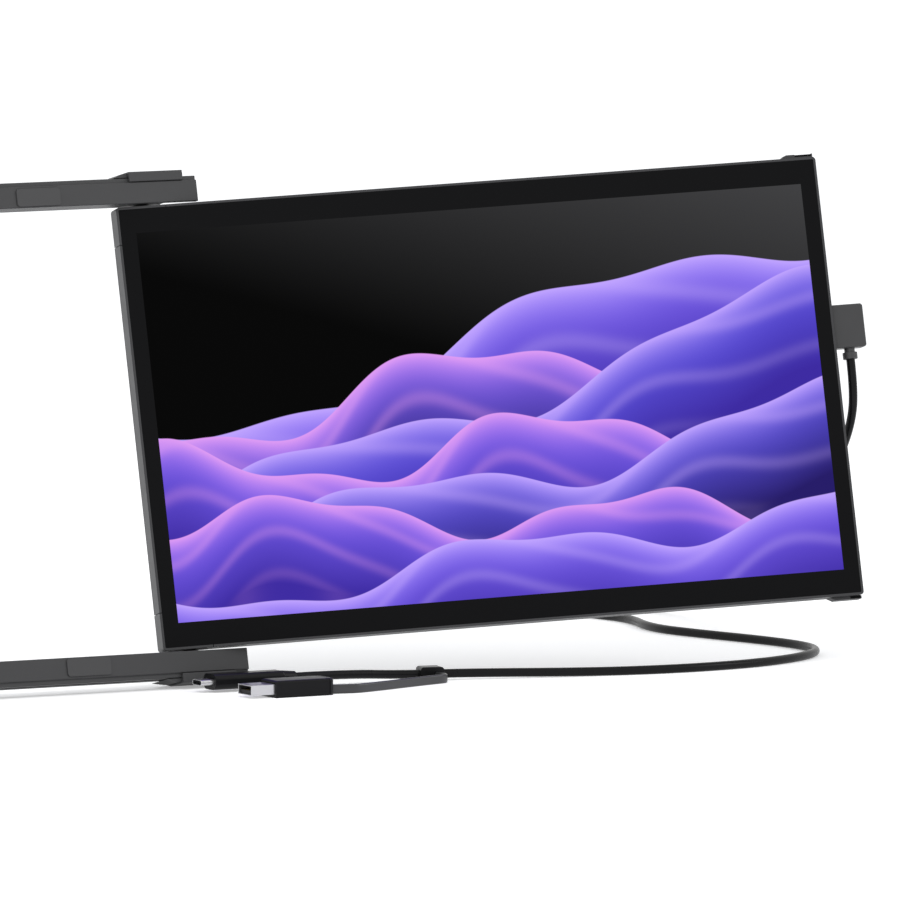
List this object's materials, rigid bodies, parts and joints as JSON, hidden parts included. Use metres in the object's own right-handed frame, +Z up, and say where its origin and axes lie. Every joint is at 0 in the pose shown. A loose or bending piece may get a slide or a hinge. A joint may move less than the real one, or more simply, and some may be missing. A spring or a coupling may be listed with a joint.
{
  "type": "laptop screen extender",
  "caption": "Slide-out second display for a laptop lid: U-shaped magnetic frame, carriage on two rails, hinged flat screen and a USB-C cord with an adapter.",
  "frame": {"origin": "front face of the steel plate on the end bar, at its centre, where it sticks to the back of a laptop's lid", "axes": "+X along the rails towards the open side, +Z up, -Y towards the user; the frame leans back 12.7 degrees with the lid"},
  "size_m": [0.6754, 0.3069, 0.2287],
  "materials": {
    "grey_plastic": "fine satin",
    "dark_glass": "glossy black border over the screen",
    "lcd": "panel",
    "white_sheet": "diffuser",
    "steel": "stamped",
    "aluminium": "stamped sheet",
    "board": "solder mask",
    "magnet": "nickel plated",
    "black_plastic": "satin",
    "nylon": "plain",
    "foam": "foam",
    "cord_rubber": "smooth"
  },
  "bodies": {
    "lid_frame": {"end_bar": "grey_plastic", "bar_magnet": "magnet", "bar_lid_plate": "steel", "top_rail": "grey_plastic", "top_rail_end_plug": "grey_plastic", "top_rail_magnets": "magnet", "top_lid_plates": "steel", "bottom_rail": "grey_plastic", "bottom_rail_end_plug": "grey_plastic", "bottom_rail_magnets": "magnet", "bottom_lid_plates": "steel"},
    "carriage": {"top_shoe": "grey_plastic", "top_shoe_cap": "grey_plastic", "top_hinge_pin": "steel", "top_hinge_washer": "nylon", "bottom_shoe": "grey_plastic", "bottom_shoe_cap": "grey_plastic", "bottom_hinge_pin": "steel", "bottom_hinge_washer": "nylon"},
    "display": {"display_frame": "grey_plastic", "rear_cover": "grey_plastic", "top_hinge_cap": "grey_plastic", "bottom_hinge_cap": "grey_plastic", "top_corner_lug": "grey_plastic", "bottom_corner_lug": "grey_plastic", "top_hinge_leaf": "steel", "bottom_hinge_leaf": "steel", "top_leaf_screws": "steel", "bottom_leaf_screws": "steel", "cover_screws": "steel", "usb_c_socket": "steel", "cover_glass": "dark_glass", "lcd_panel": "lcd", "backlight": "white_sheet", "panel_gasket": "foam", "chassis_plate": "aluminium", "screw_bosses": "aluminium", "top_leaf_anchor": "aluminium", "bottom_leaf_anchor": "aluminium", "main_board": "board", "button_board": "board"},
    "cable": {"plug_housing": "black_plastic", "plug_shell": "steel", "plug_relief": "cord_rubber", "cable_cord": "cord_rubber", "laptop_plug_housing": "black_plastic", "laptop_plug_relief": "cord_rubber", "laptop_plug_shell": "steel", "adapter_housing": "black_plastic", "adapter_shell": "steel", "adapter_tongue": "black_plastic", "tether_clip": "black_plastic", "tether_strap": "cord_rubber"},
    "power_key": {"power_key": "grey_plastic"},
    "up_key": {"up_key": "grey_plastic"},
    "down_key": {"down_key": "grey_plastic"}
  },
  "joints": [
    {"name": "carriage_slide", "type": "slide", "parent": "lid_frame", "child": "carriage", "axis": [1, 0, 0], "range_m": [-0.292, 0], "deforming": ["cable_cord"]},
    {"name": "display_swing", "type": "hinge", "parent": "carriage", "child": "display", "pos_m": [0.3219, 0.01668, -0.00377], "axis": [0, -0.2203, -0.9754], "range_deg": [-192.69, 77.31], "deforming": ["cable_cord"]},
    {"name": "plug_pull", "type": "slide", "parent": "display", "child": "cable", "axis": [0.9756, -0.2143, 0.0484], "range_m": [0, 0.01], "deforming": ["cable_cord"]},
    {"name": "power_key_press", "type": "slide", "parent": "display", "child": "power_key", "axis": [-0.9756, 0.2143, -0.0484], "range_m": [0, 0.0005], "stiffness_N_per_m": 900},
    {"name": "up_key_press", "type": "slide", "parent": "display", "child": "up_key", "axis": [-0.9756, 0.2143, -0.0484], "range_m": [0, 0.0005], "stiffness_N_per_m": 900},
    {"name": "down_key_press", "type": "slide", "parent": "display", "child": "down_key", "axis": [-0.9756, 0.2143, -0.0484], "range_m": [0, 0.0005], "stiffness_N_per_m": 900}
  ]
}
